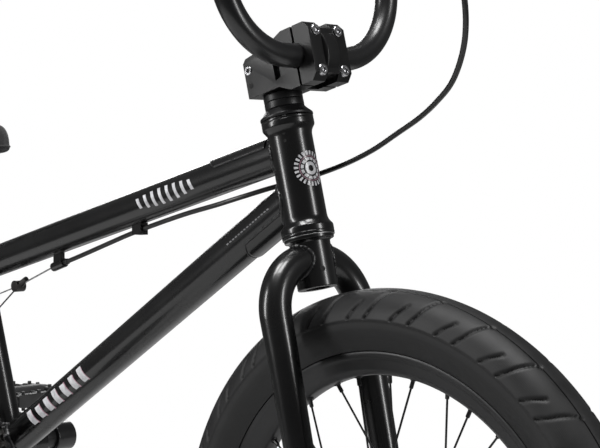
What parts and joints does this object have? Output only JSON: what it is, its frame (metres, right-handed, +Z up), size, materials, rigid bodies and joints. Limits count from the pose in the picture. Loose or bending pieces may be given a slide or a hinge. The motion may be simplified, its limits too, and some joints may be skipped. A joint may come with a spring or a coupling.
{
  "type": "bmx bicycle",
  "caption": "Small-wheeled freestyle bicycle with a high handlebar, front-load stem, straight fork, single-speed chain drive and a cable rear brake.",
  "frame": {"origin": "on the ground, midway between the two axles and in the frame's centre plane", "axes": "+X forward, +Y to the rider's left, +Z up"},
  "size_m": [1.4576, 0.73, 0.9758],
  "materials": {
    "frame_paint": "deep gloss black paint over steel tube",
    "satin_black": "satin black anodised aluminium alloy",
    "black_steel": "satin black electroplated steel",
    "bright_steel": "bright zinc-plated steel",
    "dark_steel": "black-oxide steel",
    "tyre": "matte black vulcanised rubber",
    "grip_rubber": "soft ribbed rubber",
    "black_plastic": "fine-grained moulded nylon",
    "seat_cover": "tightly woven black cloth over foam",
    "cable_cover": "smooth black extruded cable jacket"
  },
  "bodies": {
    "frame": {"head_tube": "frame_paint", "top_tube": "frame_paint", "down_tube": "frame_paint", "seat_tube": "frame_paint", "bottom_bracket_shell": "frame_paint", "chain_stay_right": "frame_paint", "chain_stay_left": "frame_paint", "seat_stay_right": "frame_paint", "seat_stay_left": "frame_paint", "dropout_right": "frame_paint", "dropout_left": "frame_paint", "seat_clamp": "satin_black", "cable_guide": "frame_paint", "cable_stop": "frame_paint", "rear_axle": "dark_steel", "headset_bearing_lower": "dark_steel", "headset_bearing_upper": "dark_steel", "bracket_bearing_right": "dark_steel", "bracket_bearing_left": "dark_steel", "chain": "dark_steel", "brake_wire": "bright_steel", "brake_housing": "cable_cover"},
    "seat": {"seat_post": "frame_paint", "saddle_base": "black_plastic", "saddle_pad": "seat_cover"},
    "steering": {"fork_steerer": "frame_paint", "fork_leg_right": "frame_paint", "fork_leg_left": "frame_paint", "headset_cap": "satin_black", "headset_spacers": "satin_black", "stem_body": "satin_black", "stem_faceplate": "satin_black", "faceplate_bolt_1": "bright_steel", "faceplate_bolt_2": "bright_steel", "faceplate_bolt_3": "bright_steel", "faceplate_bolt_4": "bright_steel", "handlebar": "frame_paint", "grip_right": "grip_rubber", "grip_left": "grip_rubber", "lever_mount": "satin_black", "front_axle": "dark_steel"},
    "front_wheel": {"front_tyre": "tyre", "front_rim": "satin_black", "front_spokes": "black_steel", "front_hub": "satin_black"},
    "rear_wheel": {"rear_tyre": "tyre", "rear_rim": "satin_black", "rear_spokes": "black_steel", "rear_hub": "satin_black"},
    "driver": {"rear_driver": "bright_steel"},
    "crank": {"crank_spindle": "dark_steel", "crank_arm_right": "black_steel", "crank_arm_left": "black_steel", "sprocket": "black_steel"},
    "pedal_right": {"pedal_right": "black_plastic"},
    "pedal_left": {"pedal_left": "black_plastic"},
    "brake_lever": {"brake_lever": "satin_black"},
    "brake_arm_right": {"brake_arm_right": "satin_black"},
    "brake_arm_left": {"brake_arm_left": "satin_black"},
    "straddle_hanger": {"straddle_hanger": "dark_steel"}
  },
  "joints": [
    {"name": "steer", "type": "hinge", "parent": "frame", "child": "steering", "pos_m": [0.34228, 0, 0.62553], "axis": [-0.2478, 0, 0.9688], "range_deg": [-80, 80], "deforming": ["brake_housing"]},
    {"name": "front_wheel_spin", "type": "hinge", "parent": "steering", "child": "front_wheel", "pos_m": [0.46426, 0, 0.2645], "axis": [0, 1, 0], "continuous": true},
    {"name": "rear_wheel_spin", "type": "hinge", "parent": "frame", "child": "rear_wheel", "pos_m": [-0.46426, 0, 0.2645], "axis": [0, 1, 0], "continuous": true},
    {"name": "crank_spin", "type": "hinge", "parent": "frame", "child": "crank", "pos_m": [-0.11353, 0, 0.3194], "axis": [0, 1, 0], "continuous": true, "deforming": ["chain"]},
    {"name": "driver_spin", "type": "hinge", "parent": "frame", "child": "driver", "pos_m": [-0.46426, 0, 0.2645], "axis": [0, 1, 0], "continuous": true},
    {"name": "pedal_right_spin", "type": "hinge", "parent": "crank", "child": "pedal_right", "pos_m": [0.05481, -0.129, 0.29574], "axis": [0, 1, 0], "continuous": true},
    {"name": "pedal_left_spin", "type": "hinge", "parent": "crank", "child": "pedal_left", "pos_m": [-0.28188, 0.129, 0.34306], "axis": [0, 1, 0], "continuous": true},
    {"name": "brake_lever_pull", "type": "hinge", "parent": "steering", "child": "brake_lever", "pos_m": [0.35431, -0.2137, 0.96195], "axis": [0.2478, 0, -0.9688], "range_deg": [0, 17], "stiffness_Nm_per_rad": 1, "springref_deg": -5.73, "deforming": ["brake_wire"]},
    {"name": "hanger_lift", "type": "slide", "parent": "frame", "child": "straddle_hanger", "axis": [0.9402, 0, 0.3407], "range_m": [0, 0.0065]},
    {"name": "brake_arm_right_close", "type": "hinge", "parent": "frame", "child": "brake_arm_right", "pos_m": [-0.27155, -0.043, 0.3957], "axis": [0.6416, 0, -0.7671], "range_deg": [0, 4.3]},
    {"name": "brake_arm_left_close", "type": "hinge", "parent": "frame", "child": "brake_arm_left", "pos_m": [-0.27669, 0.043, 0.40184], "axis": [-0.6416, 0, 0.7671], "range_deg": [0, 4.3]},
    {"name": "seat_height", "type": "slide", "parent": "frame", "child": "seat", "axis": [-0.3049, 0, 0.9524], "range_m": [-0.015, 0.045]}
  ],
  "couplings": [
    {"joint": "driver_spin", "follows": "crank_spin", "ratio": 2.7778},
    {"joint": "hanger_lift", "follows": "brake_lever_pull", "m_per_rad": 0.020222},
    {"joint": "brake_arm_right_close", "follows": "brake_lever_pull", "ratio": 0.24706},
    {"joint": "brake_arm_left_close", "follows": "brake_lever_pull", "ratio": 0.24706}
  ]
}
